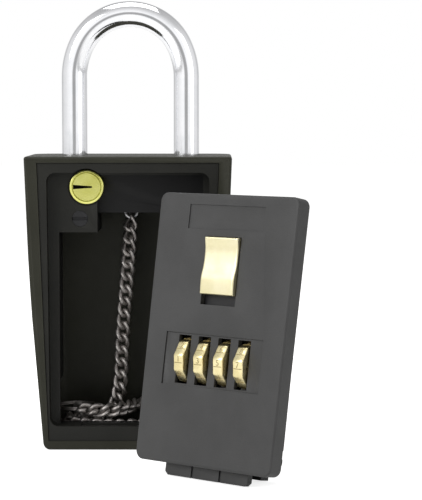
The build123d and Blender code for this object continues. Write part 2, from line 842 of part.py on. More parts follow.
def foot_level():
    """How low the cover's rear foot reaches, so that it and the tab stand on one plane."""
    lean = radians(door_lean)
    return (cover_depth * sin(lean) - door_base_z) / cos(lean)


def make_cover_screws():
    """Four pan-head screws in the cover's flange."""
    screws = []
    seat = door_thickness + cover_flange
    for u, v in cover_screw_places():
        shank = rod_y(cover_screw_radius, u, v, face_wall + 0.3, seat)
        head = rod_y(cover_screw_head, u, v, seat, seat + cover_screw_head_height)
        screws.append(place_door((shank + head).solid()))
    return Compound(children=screws)


def make_dial(u):
    """Ten-sided dial across the axle, bevelled at its rims."""
    ring = RegularPolygon(dial_radius, dial_sides, rotation=0)
    edge_turn = 180 - dial_edge_angle
    dial = Rot(X=edge_turn) * Rot(Y=90) * extrude(ring, dial_width / 2, both=True)
    rims = [e for e in dial.edges() if abs(abs(e.center().X) - dial_width / 2) < 0.01]
    dial = chamfer(rims, dial_bevel)
    dial = Pos(u, axle_depth, axle_v) * dial
    return dial - rod_x(axle_radius + axle_clearance, axle_depth, axle_v, u - 9, u + 9)


def make_hub(u):
    """Hub beside a dial with the gate that lines up at the set number."""
    left = u + dial_width / 2
    hub = rod_x(hub_radius, axle_depth, axle_v, left, left + hub_width)
    hub -= rod_x(axle_radius + axle_clearance, axle_depth, axle_v, left - 1, left + 9)
    return hub - block((left - 1, left + 9),
                       (axle_depth - gate_width / 2, axle_depth + gate_width / 2),
                       (axle_v + hub_radius - gate_depth, axle_v + hub_radius + 1))


def make_dial_axle():
    """Pin through both posts and the four dials."""
    left, right = axle_posts()
    return rod_x(axle_radius, axle_depth, axle_v, left - post_width, right + post_width)


def make_detent_spring():
    """Comb of leaf fingers behind the dials, seated on the cover's rear wall."""
    front = axle_depth + dial_radius + detent_gap
    half = dial_centres()[-1] + detent_finger_width / 2
    comb = block((-half, half), (front, cover_depth - cover_wall),
                 (detent_bottom, detent_bottom + detent_base_height))
    for u in dial_centres():
        comb += block((u - detent_finger_width / 2, u + detent_finger_width / 2),
                      (front, front + detent_strip), (detent_bottom, detent_top))
    return comb


def make_release_slide():
    """Brass push piece in the face, with a raised lip on its lower part for a finger."""
    half = slide_width / 2
    back = face_wall + latch_running
    slide = block((-half, half), (-slide_proud, back),
                  (slide_bottom, slide_bottom + slide_height))
    lip = block((-half, half), (-slide_proud - lip_proud, 0),
                (slide_bottom, slide_bottom + lip_height))
    lip = fillet(lip.edges().filter_by(Axis.X).group_by(Axis.Y)[0], lip_round)
    slide += lip
    for v in rivet_levels():
        slide -= rod_y(rivet_radius, 0, v, 0, back + 1)
    return slide


def rivet_levels():
    """Heights of the two rivets that join the slide to the latch plate."""
    middle = slide_bottom + slide_height / 2
    return middle - rivet_spacing / 2, middle + rivet_spacing / 2


def make_latch_plate():
    """Plate behind the face with a comb above the hubs and the bolt that holds the door."""
    front = face_wall + latch_running
    back = front + latch_thickness
    half = latch_width / 2
    plate = block((-half, half), (front, back), (comb_bottom, latch_top))
    comb_half = dial_centres()[-1] + dial_width / 2 + hub_width
    plate += block((-comb_half, comb_half), (front, comb_reach),
                   (comb_bottom, comb_bottom + comb_height))
    tip = axle_v + hub_radius + tooth_gap
    for u in dial_centres():
        middle = u + dial_width / 2 + hub_width / 2
        plate += block((middle - tooth_width / 2, middle + tooth_width / 2),
                       (axle_depth - tooth_width / 2, axle_depth + tooth_width / 2),
                       (tip, comb_bottom + 1))
    plate += block((bolt_u - web_thickness / 2, bolt_u + web_thickness / 2),
                   (back - 0.5, latch_bolt_front + 0.5),
                   (latch_bolt_foot, latch_bolt_foot + web_height))
    bolt = block((bolt_u - latch_bolt_width / 2, bolt_u + latch_bolt_width / 2),
                 (latch_bolt_front, latch_bolt_front + latch_bolt_thickness),
                 (latch_bolt_foot, latch_bolt_top))
    bolt = chamfer(bolt.edges().filter_by(Axis.X).group_by(Axis.Z)[-1], 0.8)
    plate += bolt
    for v in rivet_levels():
        plate -= rod_y(rivet_radius, 0, v, front - 1, back + 1)
    plate += rod_y(hook_radius, 0, latch_top - hook_radius, back - 0.5, back + spring_depth)
    return plate


def make_slide_rivets():
    """Two rivets from the slide through the latch plate."""
    back = face_wall + latch_running + latch_thickness
    rivets = []
    for v in rivet_levels():
        shank = rod_y(rivet_radius, 0, v, 0, back)
        head = rod_y(rivet_head_radius, 0, v, back, back + rivet_head_height)
        rivets.append(place_door((shank + head).solid()))
    return Compound(children=rivets)


def make_latch_spring():
    """Folded strip in tension between the latch plate's top and the hook peg above it."""
    step = spring_length / spring_folds
    points = [(0, latch_top + spring_strip)]
    for i in range(spring_folds):
        side = 1 if i % 2 else -1
        points.append((side * spring_half_width, latch_top + (i + 0.5) * step))
    points.append((0, latch_top + spring_length))
    strip = trace(Polyline(*points), spring_strip)
    front = face_wall + latch_running
    return front_prism(strip, front, front + spring_depth)


os.makedirs("parts", exist_ok=True)

pieces = {
    "box_shell": make_box_shell(),
    "inner_frame": make_inner_frame(),
    "frame_screws": make_frame_screws(),
    "lock_cylinder": make_lock_cylinder(),
    "lock_plug": make_lock_plug(),
    "plug_cam": make_plug_cam(),
    "shackle_bolt": make_shackle_bolt(),
    "chamber_plate": make_chamber_plate(),
    "chamber_screws": make_chamber_screws(),
    "shackle": make_shackle(),
    "chain_anchor": make_chain_anchor(),
    "key_chain": make_key_chain(),
    "key_ring": make_key_ring(),
    "door_plate": place_door(make_door_plate()),
    "mechanism_cover": place_door(make_mechanism_cover()),
    "cover_screws": make_cover_screws(),
    "dial_axle": place_door(make_dial_axle()),
    "detent_spring": place_door(make_detent_spring()),
    "release_slide": place_door(make_release_slide()),
    "latch_plate": place_door(make_latch_plate()),
    "slide_rivets": make_slide_rivets(),
    "latch_spring": place_door(make_latch_spring()),
}
for number, centre in enumerate(dial_centres(), 1):
    pieces[f"dial_{number}"] = place_door(make_dial(centre))
    pieces[f"hub_{number}"] = place_door(make_hub(centre))

for name, piece in pieces.items():
    export_step(piece, f"parts/{name}.step")
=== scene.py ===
# %% [markdown]
# # A key lock box with its door lifted off
# The object has two loose parts. A tapered black box hangs from a round chrome shackle, and
# its door, with four number dials and a brass slide, stands by itself in front of it. The
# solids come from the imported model; this lesson puts a finish on each and replaces the ones
# whose real shape is rounder than a solid of flat facets can be.

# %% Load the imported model
import json

import bmesh
import bpy
import numpy as np
from mathutils import Matrix, Vector


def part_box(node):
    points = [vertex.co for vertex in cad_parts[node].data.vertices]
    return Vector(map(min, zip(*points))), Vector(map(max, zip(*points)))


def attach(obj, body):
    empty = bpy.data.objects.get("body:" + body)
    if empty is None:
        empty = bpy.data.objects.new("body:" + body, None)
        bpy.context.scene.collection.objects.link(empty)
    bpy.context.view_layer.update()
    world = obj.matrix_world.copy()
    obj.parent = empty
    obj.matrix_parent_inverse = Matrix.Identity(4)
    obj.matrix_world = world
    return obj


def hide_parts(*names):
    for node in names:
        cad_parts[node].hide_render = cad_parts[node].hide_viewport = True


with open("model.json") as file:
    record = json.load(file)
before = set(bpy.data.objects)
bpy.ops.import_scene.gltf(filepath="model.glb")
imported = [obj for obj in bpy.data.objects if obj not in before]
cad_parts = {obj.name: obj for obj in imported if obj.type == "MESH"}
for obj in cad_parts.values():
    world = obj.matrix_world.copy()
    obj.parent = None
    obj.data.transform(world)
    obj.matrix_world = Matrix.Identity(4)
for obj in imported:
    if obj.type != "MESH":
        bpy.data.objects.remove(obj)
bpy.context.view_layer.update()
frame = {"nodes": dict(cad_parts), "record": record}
nodes = frame["nodes"]
MM = 0.001

# %% [markdown]
# ## Camera
# The camera stands a little right of the box, about 0.67 m in front of it and slightly above
# its top, and looks down by under five degrees. A long lens keeps the upright edges of the
# tapered box nearly parallel, as in a catalogue picture.

# %% Camera
camera_place = (0.0316, -0.6878, 0.1276)
look_down, look_left = 4.6, 0.11
camera_data = bpy.data.cameras.new("camera")
camera_data.sensor_width = 36
camera_data.lens = 131.9
camera_data.clip_start = 0.05
camera_data.clip_end = 30
camera = bpy.data.objects.new("camera", camera_data)
camera.location = camera_place
camera.rotation_euler = np.radians((90 - look_down, 0, look_left))
bpy.context.scene.collection.objects.link(camera)
bpy.context.scene.camera = camera
print("camera lens:", camera_data.lens)


# %% [markdown]
# ## Making meshes from arrays
# Every new surface here is a grid of points: rows along one parameter, columns along the
# other. The grid's corners are numbered by plain arithmetic, so no loop touches a vertex.
# A closed grid wraps its last row or column onto the first.

# %% Grid helpers
def grid_quads(rows, cols, wrap_rows=False, wrap_cols=False):
    """Corners of each quad: point (r, c) has number r * cols + c, wrapped where asked."""
    r = np.arange(rows if wrap_rows else rows - 1)[:, None]
    c = np.arange(cols if wrap_cols else cols - 1)[None, :]
    below, beside = (r + 1) % rows, (c + 1) % cols
    quads = np.stack([r * cols + c, r * cols + beside, below * cols + beside, below * cols + c], -1)
    return quads.reshape(-1, 4)


def shell(points, wrap_rows=False, wrap_cols=True, caps=True):
    """Flat point list and faces of one grid; caps close its first and last row."""
    rows, cols = points.shape[:2]
    faces = grid_quads(rows, cols, wrap_rows, wrap_cols).tolist()
    if caps and not wrap_rows:
        faces.append(list(range(cols)))
        faces.append(list(range((rows - 1) * cols, rows * cols)))
    return points.reshape(-1, 3), faces


def join(shells):
    """Several shells as one: each one's corner numbers start after the points before it."""
    starts = np.cumsum([0] + [len(points) for points, _ in shells[:-1]])
    faces = [[int(k + start) for k in face]
             for start, (_, part) in zip(starts, shells) for face in part]
    return np.concatenate([points for points, _ in shells]), faces


def new_mesh(name, points, faces, sharp=38):
    """Mesh in metres from millimetre points, outward faces, smooth but for sharp edges."""
    mesh = bpy.data.meshes.new(name)
    mesh.from_pydata((points * MM).tolist(), [], faces)
    work = bmesh.new()
    work.from_mesh(mesh)
    bmesh.ops.remove_doubles(work, verts=work.verts, dist=1e-7)
    bmesh.ops.recalc_face_normals(work, faces=work.faces)
    work.to_mesh(mesh)
    work.free()
    mesh.shade_smooth()
    mesh.set_sharp_from_angle(angle=np.radians(sharp))
    return mesh


def add_piece(name, mesh, body, slot, material, *replaced):
    """A piece with its finish, riding on a body, in place of the solids it stands for."""
    piece = bpy.data.objects.new(name, mesh)
    bpy.context.scene.collection.objects.link(piece)
    mesh.materials.clear()
    mesh.materials.append(material)
    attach(piece, body)
    if replaced:
        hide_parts(*replaced)
    print(f"{name}: {len(mesh.polygons)} faces")
    return piece


def ring_of(count, start=0.0):
    """Angles of a full circle in equal steps, the end left out."""
    return start + np.arange(count) * 2 * np.pi / count


def turned(profile, sides=64):
    """Surface of turning: each (radius, along) of the profile becomes a circle about Y."""
    profile = np.asarray(profile, float)
    angle = ring_of(sides)
    radius, along = profile[:, 0][:, None], profile[:, 1][:, None]
    return np.stack([radius * np.cos(angle), along + 0 * angle, radius * np.sin(angle)], -1)


# %% [markdown]
# ## Finishes
# All finishes are worked out from noise on the object's own coordinates, in metres, so one
# grain size fits every piece. A paint with a fine texture needs two things: small bumps that
# break up the highlight, and a roughness that wanders a little, as sprayed paint does.

# %% Node helpers
def start_material(name):
    """An empty node material with its shader and object coordinates."""
    material = bpy.data.materials.new(name)
    material.use_nodes = True
    tree = material.node_tree
    shader = tree.nodes["Principled BSDF"]
    coords = tree.nodes.new("ShaderNodeTexCoord")
    return material, tree, shader, coords.outputs["Object"]


def noise(tree, coords, size, detail=3.0, roughness=0.55, stretch=(1, 1, 1)):
    """Noise whose blobs are about size metres across, longer along a stretched axis."""
    mapping = tree.nodes.new("ShaderNodeMapping")
    mapping.inputs["Scale"].default_value = [1 / s for s in stretch]
    node = tree.nodes.new("ShaderNodeTexNoise")
    node.inputs["Scale"].default_value = 1 / size
    node.inputs["Detail"].default_value = detail
    node.inputs["Roughness"].default_value = roughness
    tree.links.new(coords, mapping.inputs["Vector"])
    tree.links.new(mapping.outputs["Vector"], node.inputs["Vector"])
    return node.outputs["Fac"]


def ramp(tree, value, low, high, start=0.35, end=0.65):
    """Blend from one colour to another as the value goes from start to end."""
    node = tree.nodes.new("ShaderNodeValToRGB")
    node.color_ramp.elements[0].position = start
    node.color_ramp.elements[1].position = end
    node.color_ramp.elements[0].color = (*low, 1)
    node.color_ramp.elements[1].color = (*high, 1)
    tree.links.new(value, node.inputs["Fac"])
    return node.outputs["Color"]


def spread(tree, value, low, high, start=0.3, end=0.7):
    """The value stretched from start..end to low..high."""
    node = tree.nodes.new("ShaderNodeMapRange")
    for name, number in (("From Min", start), ("From Max", end), ("To Min", low), ("To Max", high)):
        node.inputs[name].default_value = number
    tree.links.new(value, node.inputs["Value"])
    return node.outputs["Result"]


def bump(tree, value, height):
    """Bump of a height in metres."""
    node = tree.nodes.new("ShaderNodeBump")
    node.inputs["Strength"].default_value = 1.0
    node.inputs["Distance"].default_value = height
    tree.links.new(value, node.inputs["Height"])
    return node.outputs["Normal"]


def paint(name, dark, light, roughness, grain, height, gloss=0.3):
    """Sprayed or moulded black: broad shade changes, fine grain bumps, wandering gloss."""
    material, tree, shader, coords = start_material(name)
    broad = noise(tree, coords, 0.018, detail=4)
    fine = noise(tree, coords, grain, detail=2, roughness=0.6)
    tree.links.new(ramp(tree, broad, dark, light), shader.inputs["Base Color"])
    tree.links.new(spread(tree, fine, roughness - 0.07, roughness + 0.07),
                   shader.inputs["Roughness"])
    tree.links.new(bump(tree, fine, height), shader.inputs["Normal"])
    shader.inputs["Specular IOR Level"].default_value = gloss
    return material


def metal(name, dark, light, roughness, wander=0.04, grain=0.0012, stretch=(1, 1, 1),
          height=0.0):
    """Bare or plated metal: tint and gloss wander with noise drawn out along the brushing."""
    material, tree, shader, coords = start_material(name)
    shader.inputs["Metallic"].default_value = 1.0
    tint = noise(tree, coords, 0.006, detail=4)
    lines = noise(tree, coords, grain, detail=3, stretch=stretch)
    tree.links.new(ramp(tree, tint, dark, light), shader.inputs["Base Color"])
    tree.links.new(spread(tree, lines, roughness - wander, roughness + wander),
                   shader.inputs["Roughness"])
    if height:
        tree.links.new(bump(tree, lines, height), shader.inputs["Normal"])
    return material


# %% [markdown]
# The two loose parts are painted castings; the insert and the rear cover are moulded plastic.
# The box looks a little warmer and darker than the door, which catches more of the light.

# %% Finishes of this object
body_paint = paint("body_paint", (0.0190, 0.0190, 0.0110), (0.026, 0.026, 0.017), 0.50, 0.0005,
                   0.00004, 0.26)
door_paint = paint("door_paint", (0.036, 0.036, 0.036), (0.048, 0.048, 0.048), 0.52, 0.0005,
                   0.00004, 0.42)
frame_plastic = paint("frame_plastic", (0.0105, 0.0105, 0.0085), (0.015, 0.015, 0.012), 0.50,
                      0.0004, 0.00002, 0.24)
cover_plastic = paint("cover_plastic", (0.010, 0.010, 0.010), (0.015, 0.015, 0.015), 0.42,
                      0.0006, 0.00002)
black_oxide = paint("black_oxide", (0.012, 0.012, 0.013), (0.022, 0.022, 0.024), 0.42, 0.0004,
                    0.00001)
digit_paint = paint("digit_paint", (0.36, 0.28, 0.12), (0.44, 0.35, 0.17), 0.5, 0.0004, 0.00001)
chrome = metal("chrome", (0.84, 0.85, 0.87), (0.91, 0.91, 0.93), 0.09, 0.02, 0.004)
lock_brass = metal("lock_brass", (0.68, 0.67, 0.17), (0.78, 0.77, 0.25), 0.24, 0.05, 0.0004,
                   height=0.000008)
plug_brass = metal("plug_brass", (0.68, 0.67, 0.17), (0.78, 0.77, 0.25), 0.24, 0.05, 0.0004,
                   height=0.000008)
dial_brass = metal("dial_brass", (0.78, 0.67, 0.36), (0.90, 0.80, 0.47), 0.30, 0.05, 0.0004,
                   height=0.000008)
slide_brass = metal("slide_brass", (0.75, 0.69, 0.43), (0.83, 0.77, 0.54), 0.36, 0.05, 0.0005,
                    height=0.000002)
chain_steel = metal("chain_steel", (0.40, 0.375, 0.355), (0.52, 0.49, 0.47), 0.46, 0.07, 0.001)
plate_steel = metal("plate_steel", (0.50, 0.50, 0.51), (0.62, 0.62, 0.63), 0.38, 0.06, 0.0008,
                    (6, 1, 1), 0.000006)
screw_steel = metal("screw_steel", (0.20, 0.20, 0.20), (0.30, 0.30, 0.30), 0.42, 0.06, 0.0008)


def darken_inside(material, start, end, shade):
    """Painted shade that deepens with the Y coordinate, from start to end in metres, in a recess.
    """
    tree = material.node_tree
    shader = tree.nodes["Principled BSDF"]
    coords = next(node for node in tree.nodes if node.type == "TEX_COORD")
    parts = tree.nodes.new("ShaderNodeSeparateXYZ")
    tree.links.new(coords.outputs["Object"], parts.inputs["Vector"])
    depth = spread(tree, parts.outputs["Y"], 0.0, 1.0, start, end)
    mix = tree.nodes.new("ShaderNodeMix")
    mix.data_type = "RGBA"
    tree.links.new(depth, mix.inputs["Factor"])
    tree.links.new(shader.inputs["Base Color"].links[0].from_socket, mix.inputs[6])
    mix.inputs[7].default_value = (*shade, 1)
    tree.links.new(mix.outputs[2], shader.inputs["Base Color"])


# Painted shade: the plug's keyway and the deeper part of the insert's recess turn darker the
# further in they lie, standing in for the shade that falls there.
keyway_mouth, keyway_dark = -0.01555, -0.0150
recess_mouth, recess_dark = -0.0148, -0.0104
darken_inside(plug_brass, keyway_mouth, keyway_dark, (0.012, 0.010, 0.006))
darken_inside(frame_plastic, recess_mouth, recess_dark, (0.0035, 0.0035, 0.0038))

finishes = {
    "body_paint": body_paint, "door_paint": door_paint, "frame_plastic": frame_plastic,
    "cover_plastic": cover_plastic, "shackle_chrome": chrome, "lock_brass": lock_brass,
    "dial_brass": dial_brass, "hub_brass": dial_brass, "slide_brass": slide_brass,
    "chain_steel": chain_steel, "plate_steel": plate_steel, "screw_steel": screw_steel,
    "spring_steel": plate_steel, "black_screws": black_oxide, "latch_black": black_oxide,
}
slot_of = {part["node"]: part["material_slot"] for part in frame["record"]["subparts"]}
for node, solid in nodes.items():
    solid.data.materials.clear()
    solid.data.materials.append(finishes[slot_of[node]])
print("finishes:", len(finishes))


# %% [markdown]
# ## Castings and mouldings
# The box, its insert, the door and the rear cover are mostly flat walls, and their solids
# already have the right shape. What a solid lacks is the small round on every edge, which
# catches a thin line of light. Each is copied, its loose triangles are merged, the flat ones
# are dissolved into whole faces, and a Bevel modifier rounds every edge over 32 degrees. The
# box gets none, since its solid's outer edges are rounded already.

# %% Rounded copies
merge_distance, flat_angle, sharp_angle = 2e-6, np.radians(1.5), np.radians(32)


def rounded_copy(node, name, body, width):
    """A merged copy of a solid, its sharp edges rounded by a width in millimetres if not 0."""
    mesh = nodes[node].data.copy()
    mesh.name = name
    work = bmesh.new()
    work.from_mesh(mesh)
    bmesh.ops.remove_doubles(work, verts=work.verts, dist=merge_distance)
    bmesh.ops.dissolve_limit(work, angle_limit=flat_angle, verts=work.verts,
                             edges=work.edges)
    work.to_mesh(mesh)
    work.free()
    mesh.shade_smooth()
    mesh.set_sharp_from_angle(angle=sharp_angle)
    piece = add_piece(name, mesh, body, slot_of[node], finishes[slot_of[node]], node)
    if not width:
        return piece
    bevel = piece.modifiers.new("edge_round", "BEVEL")
    bevel.width = width * MM
    bevel.segments = 2
    bevel.limit_method = "ANGLE"
    bevel.angle_limit = sharp_angle
    bevel.use_clamp_overlap = True
    bevel.harden_normals = True
    return piece


rounded_copy("box_shell", "cast_box", "box", 0)
rounded_copy("inner_frame", "moulded_insert", "box", 0.2)
rounded_copy("door_plate", "cast_door", "door", 0.2)
rounded_copy("mechanism_cover", "moulded_cover", "door", 0.2)
rounded_copy("frame_screws", "insert_screws", "box", 0.15)
rounded_copy("cover_screws", "rear_screws", "door", 0.15)


# %% [markdown]
# ## Shackle
# The shackle is one chromed rod bent to an arch that is a little taller than a half circle.
# Its centre line is three arcs, a tighter one at the crown between two wider ones, with a
# straight leg at each side. A circle carried along that line gives the rod. The left leg has
# a flat notch for the lock's bolt: within its height, points are pushed back to the flat.

# %% Shackle
leg_x, shackle_y, rod_radius = 21.0, 3.0, 4.8
leg_bottom, arch_top, arch_height, side_radius = 89.8, 160.7, 23.5, 28.0
tip_chamfer = 0.9
notch_flat, notch_low, notch_high = -19.84, 93.0, 101.8


def arc(centre, radius, start, end, count):
    """Points on a circle in X and Z, from one angle in degrees to another."""
    angle = np.radians(np.linspace(start, end, count))
    return np.stack([centre[0] + radius * np.cos(angle), centre[1] + radius * np.sin(angle)], -1)


def arch_line():
    """Half of the arch mirrored: leg, wide arc, and crown arc, where both arcs share a normal."""
    spring = arch_top - arch_height
    inset = side_radius - leg_x
    crown = (side_radius ** 2 - inset ** 2 - arch_height ** 2) / (2 * (side_radius - arch_height))
    rise = arch_height - crown
    turn = np.degrees(np.arctan2(rise, inset))
    heights = [leg_bottom, leg_bottom + tip_chamfer, notch_low, notch_low + 1e-4,
               notch_high - 1e-4, notch_high]
    leg = np.array([(leg_x, z) for z in heights + list(np.linspace(notch_high + 3, spring, 9))])
    half = np.concatenate([leg, arc((-inset, spring), side_radius, 0, turn, 12)[1:],
                           arc((0, spring + rise), crown, turn, 90, 24)[1:]])
    return np.concatenate([half, (half * (-1, 1))[-2::-1]])


def rod_along(line, radius, sides=40):
    """Circle carried along a line in X and Z: centre + radius (cos a * side + sin a * Y)."""
    step = np.gradient(line, axis=0)
    step /= np.linalg.norm(step, axis=1)[:, None]
    side = np.stack([step[:, 1], np.zeros(len(line)), -step[:, 0]], -1)
    centre = np.stack([line[:, 0], np.full(len(line), shackle_y), line[:, 1]], -1)
    angle = ring_of(sides)[None, :, None]
    reach = np.broadcast_to(radius, len(line))[:, None, None]
    across = np.cos(angle) * side[:, None, :] + np.sin(angle) * np.array((0, 1, 0))
    return centre[:, None, :] + reach * across


line = arch_line()
thickness = np.full(len(line), rod_radius)
thickness[[0, -1]] -= tip_chamfer
rod = rod_along(line, thickness)
in_notch = (rod[..., 2] > notch_low + 5e-5) & (rod[..., 2] < notch_high - 5e-5)
in_notch &= rod[..., 0] < 0
rod[..., 0] = np.where(in_notch, np.minimum(rod[..., 0], notch_flat), rod[..., 0])
add_piece("chrome_shackle", new_mesh("chrome_shackle", *shell(rod)), "shackle",
          "shackle_chrome", chrome, "shackle")

# %% [markdown]
# ## Shackle lock
# The lock is a brass sleeve with a plug that turns in it. Both are lathe work, so the sleeve
# is a profile of radius against length turned about the lock's axis. The plug has a keyway,
# wide on the left and narrow on the right: its face is a fan of points that run from the
# keyway's outline to the plug's rim, then the same outline goes inwards as the keyway's wall.

# %% Lock sleeve and plug
lock_centre = np.array((-15.4, 0, 96.7))
lock_face, lock_rear = -15.6, -4.3
sleeve_radius, sleeve_bore, plug_radius = 6.4, 5.28, 5.2
plug_chamfer = 0.12
key_half_length, key_wide, key_narrow, key_depth = 3.5, 0.8, 0.3, 8.0
key_middle = np.array((-1.5, 0))
sleeve = turned([(sleeve_bore, lock_rear), (sleeve_bore, lock_face + 0.15),
                 (sleeve_bore + 0.15, lock_face), (sleeve_radius - 0.5, lock_face),
                 (sleeve_radius - 0.2, lock_face + 0.12), (sleeve_radius, lock_face + 0.5),
                 (sleeve_radius, lock_rear)], 72)
add_piece("brass_sleeve", new_mesh("brass_sleeve", *shell(sleeve + lock_centre, wrap_rows=True)),
          "box", "lock_brass", lock_brass, "lock_cylinder")


def keyway_outline(angle):
    """Where a ray at each angle from the keyway's middle meets its four-sided outline."""
    cos, sin = np.cos(angle), np.sin(angle)
    slope = (key_wide - key_narrow) / (2 * key_half_length)
    half_height = (key_wide + key_narrow) / 2
    to_sides = half_height / np.maximum(np.abs(sin) + slope * cos, 1e-6)
    to_ends = key_half_length / np.maximum(np.abs(cos), 1e-6)
    reach = np.minimum(to_sides, to_ends)
    return np.stack([reach * cos, reach * sin], -1)


def plug_surface():
    """Rows: rear rim, front rim, its chamfer, face towards the keyway, the keyway's far end."""
    corner = np.arctan2([key_wide, key_narrow, -key_narrow, -key_wide],
                        np.array([-1, 1, 1, -1]) * key_half_length)
    angle = np.sort(np.concatenate([ring_of(92, -np.pi), corner]))
    key = keyway_outline(angle) + key_middle
    rim = np.stack([np.cos(angle), np.sin(angle)], -1)

    def row(flat, y):
        return np.stack([flat[:, 0], np.full(len(flat), y), flat[:, 1]], -1)

    face = [row(rim * (plug_radius - plug_chamfer) * (1 - t) + key * t, lock_face)
            for t in (0, 0.5, 0.9, 1.0)]
    side = [row(rim * plug_radius, y) for y in (lock_rear, lock_face + plug_chamfer)]
    return np.stack([*side, *face, row(key, lock_face + key_depth)])


add_piece("brass_plug", new_mesh("brass_plug", *shell(plug_surface() + lock_centre)),
          "lock_plug", "lock_brass", plug_brass, "lock_plug")

# %% [markdown]
# ## Chain and ring
# The key chain is a curb chain: every link is bent from round wire and then twisted by a
# quarter turn, so that all of them lie in one flat row, and each one's end still stands square
# to the next. The solid chain has a flat link at each place instead, each a quarter turn from
# its neighbours. So the places and directions are read from the solid links, every second
# link is turned one eighth of a turn to the left and the others to the right, and one twisted
# link of round wire goes to them all. A link's own directions are those in which its surface
# spreads most and least, which are the eigenvectors of its second moment. Between the staple
# and the ring the whole row is turned by a quarter, so that its broad side faces the door.

# %% Places of the solid links
link_wire, link_inside, link_width = 1.85, 4.8, 5.8
link_triangles = 96
start_links, end_links = 4, 10


def link_corners(solid):
    """Triangle corners in millimetres, one row of the array for each link."""
    mesh = solid.data
    mesh.calc_loop_triangles()
    corner = np.empty(len(mesh.loop_triangles) * 3, np.int32)
    mesh.loop_triangles.foreach_get("vertices", corner)
    place = np.empty(len(mesh.vertices) * 3)
    mesh.vertices.foreach_get("co", place)
    return place.reshape(-1, 3)[corner].reshape(-1, link_triangles, 3, 3) / MM


def link_frames(corners):
    """Centre, length axis and thickness axis of each link, from its surface's moments.

    A triangle of area A with corners a, b, c and sum s = a + b + c adds A s / 3 to the first
    moment and A / 12 (aa + bb + cc + ss) to the second.
    """
    sides = corners[:, :, 1:] - corners[:, :, :1]
    area = np.linalg.norm(np.cross(sides[:, :, 0], sides[:, :, 1]), axis=-1) / 2
    centre = np.einsum("nt,ntk->nk", area, corners.mean(axis=2)) / area.sum(axis=1)[:, None]
    corners = corners - centre[:, None, None]
    total = corners.sum(axis=2)
    spread_out = (np.einsum("nt,ntik,ntil->nkl", area, corners, corners)
                  + np.einsum("nt,ntk,ntl->nkl", area, total, total)) / 12
    axes = np.linalg.eigh(spread_out)[1]
    along, through = axes[:, :, 2], axes[:, :, 0]
    onward = np.gradient(centre, axis=0)
    along = along * np.sign(np.sum(along * onward, axis=1, keepdims=True))
    return centre, along, through


centre, along, through = link_frames(link_corners(nodes["key_chain"]))
across = np.cross(through, along)
print("links:", len(centre), "mean pitch:",
      round(float(np.linalg.norm(np.diff(centre, axis=0), axis=1).mean()), 2), "mm")


# %% Twisted links
def slot_line(count=40):
    """A rounded slot: two half circles joined by straight runs, at even steps of its length."""
    radius = (link_width - link_wire) / 2
    straight = link_inside + link_wire - 2 * radius
    total = 2 * straight + 2 * np.pi * radius
    s = np.arange(count) * total / count
    turn = np.clip(s - straight, 0, np.pi * radius) / radius
    back = np.clip(s - straight - np.pi * radius, 0, straight)
    last = np.clip(s - 2 * straight - np.pi * radius, 0, np.pi * radius) / radius
    angle = turn + last - np.pi / 2
    x = np.minimum(s, straight) - back - straight / 2
    normal = np.stack([np.cos(angle), np.sin(angle), 0 * angle], -1)
    return np.stack([x, 0 * x, 0 * x], -1) + radius * normal, normal


def twist(points, turn):
    """Points turned about X by the angle at each point's own X."""
    cos, sin = np.cos(turn), np.sin(turn)
    x, y, z = np.moveaxis(points, -1, 0)
    return np.stack([x, y * cos - z * sin, y * sin + z * cos], -1)


def link_wire_ring():
    """Circle carried round the slot: slot point + wire radius (cos a * outwards + sin a * Z)."""
    path, out = slot_line()
    angle = ring_of(10)[None, :, None]
    return path[:, None] + link_wire / 2 * (np.cos(angle) * out[:, None]
                                            + np.sin(angle) * np.array((0, 0, 1.0)))


eighth = np.pi / 4
number = np.arange(len(centre))
from_start = np.minimum(1, number / start_links)
from_end = np.minimum(1, number[::-1] / end_links)
sway = np.where(number % 2, eighth, -eighth) - 2 * eighth * from_start * from_end
flat_link = link_wire_ring()
tip = (link_inside + link_wire) / 2
inner_twist = -eighth * np.sin(np.clip(flat_link[..., 0] / tip, -1, 1) * np.pi / 2)
wire = np.stack([twist(flat_link, inner_twist + angle) for angle in sway])
axes = np.stack([along, across, through], 1)
placed = np.einsum("nabj,njk->nabk", wire, axes) + centre[:, None, None]
quads = grid_quads(*wire.shape[1:3], wrap_rows=True, wrap_cols=True)
starts = np.arange(len(centre)) * wire.shape[1] * wire.shape[2]
links = (quads[None] + starts[:, None, None]).reshape(-1, 4)
add_piece("wire_chain", new_mesh("wire_chain", placed.reshape(-1, 3), links.tolist(), 80),
          "box", "chain_steel", chain_steel, "key_chain")

# %% [markdown]
# A split ring is one flat strip wound twice round, and it steps from the lower turn to the
# upper one over a short stretch. So the centre line is two turns of a circle whose height is
# a smooth step, and the section is a small rounded rectangle.

# %% Split ring
low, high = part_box("key_ring")
ring_centre = np.array((low + high) / 2) / MM
ring_size = (high - low) / MM


def split_ring(radius, strip, turns=2.0, count=220):
    """Rounded rectangle carried round two turns; the height steps once, smoothly."""
    t = np.linspace(0.02, turns - 0.02, count)
    step = np.clip((t - 0.86) / 0.28, 0, 1)
    height = (step * step * (3 - 2 * step) - 0.5) * strip
    around = 2 * np.pi * t
    corner = ring_of(12)
    flat = np.sign(np.cos(corner)) * np.abs(np.cos(corner)) ** 0.5
    tall = np.sign(np.sin(corner)) * np.abs(np.sin(corner)) ** 0.5
    reach = radius + flat[None] * strip * 0.5
    z = height[:, None] + tall[None] * strip * 0.49
    return np.stack([reach * np.cos(around)[:, None], reach * np.sin(around)[:, None], z], -1)


strip = ring_size.z / 2
ring = split_ring(ring_size.x / 2 - strip, strip)
add_piece("split_ring", new_mesh("split_ring", *shell(ring + ring_centre)), "box", "chain_steel",
          chain_steel, "key_ring")

# %% [markdown]
# ## The door's own frame
# The door stands turned and leaning, so its pieces are worked out flat, with U across its
# face, B into it and V up it, and then turned and moved to where it stands.

